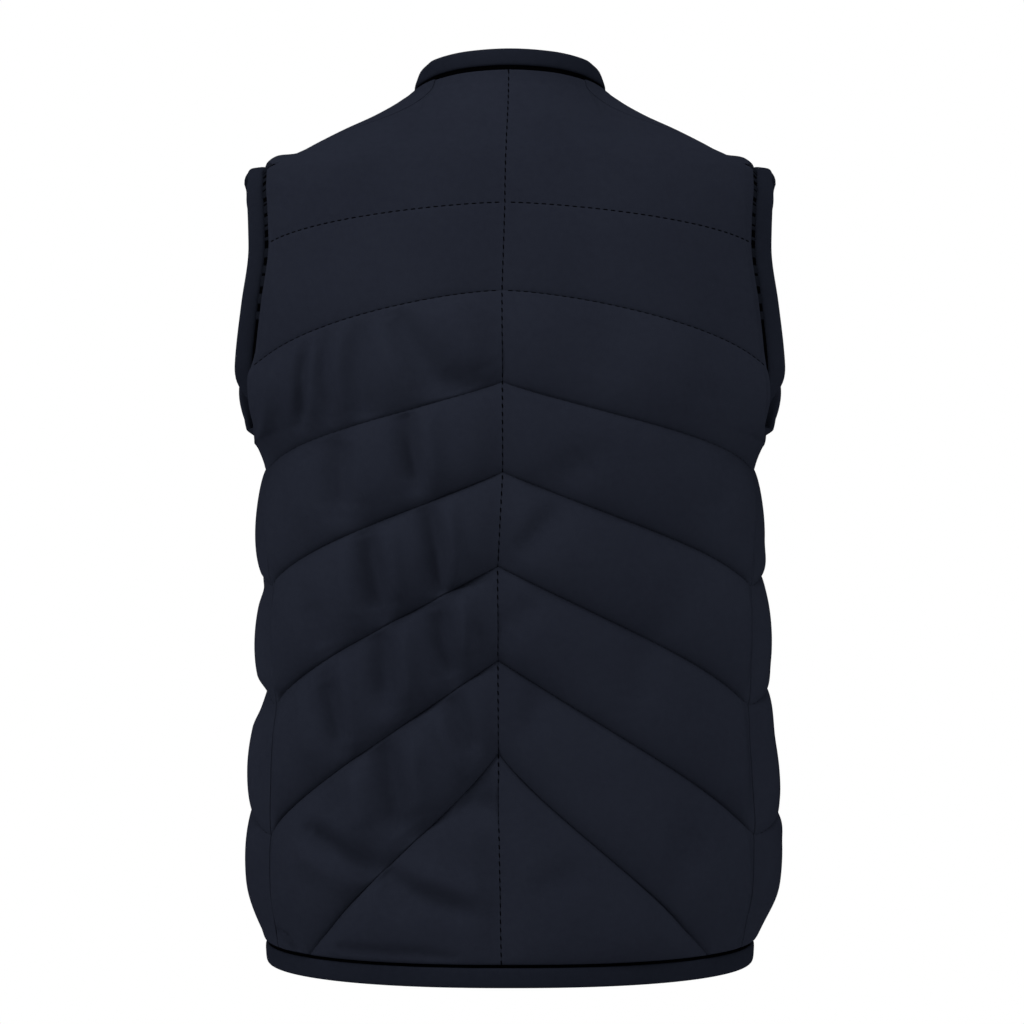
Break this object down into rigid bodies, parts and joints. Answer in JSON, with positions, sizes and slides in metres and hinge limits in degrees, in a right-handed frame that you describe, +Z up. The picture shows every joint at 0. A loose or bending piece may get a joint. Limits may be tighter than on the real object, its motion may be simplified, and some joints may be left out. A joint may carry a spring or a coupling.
{
  "type": "quilted vest",
  "caption": "Sleeveless quilted vest, padded in chevron rows, with bound neck, armholes and hem and a press-stud front, filled out as if worn.",
  "frame": {"origin": "midway between the shoulders, level with the inner faces of the shoulders 127 mm to either side, where they rest on the wearer", "axes": "+Z up, -Y the way the fronts face, +X towards the wearer's left"},
  "size_m": [0.4122, 0.252, 0.6663],
  "materials": {
    "quilted_cloth": "matt dark navy woven cloth with a fine grain",
    "binding": "matt dark navy folded binding",
    "stud": "dark satin enamelled metal"
  },
  "bodies": {
    "root": {"back_left": "quilted_cloth", "back_right": "quilted_cloth", "front_left": "quilted_cloth", "front_right": "quilted_cloth", "neck_binding": "binding", "hem_binding": "binding", "armhole_binding_left": "binding", "armhole_binding_right": "binding", "front_strip_over": "binding", "front_strip_under": "binding", "stud_cap_1": "stud", "stud_cap_2": "stud", "stud_cap_3": "stud", "stud_cap_4": "stud", "stud_cap_5": "stud", "stud_cap_6": "stud", "stud_ring_1": "stud", "stud_ring_2": "stud", "stud_ring_3": "stud", "stud_ring_4": "stud", "stud_ring_5": "stud", "stud_ring_6": "stud"}
  },
  "joints": []
}
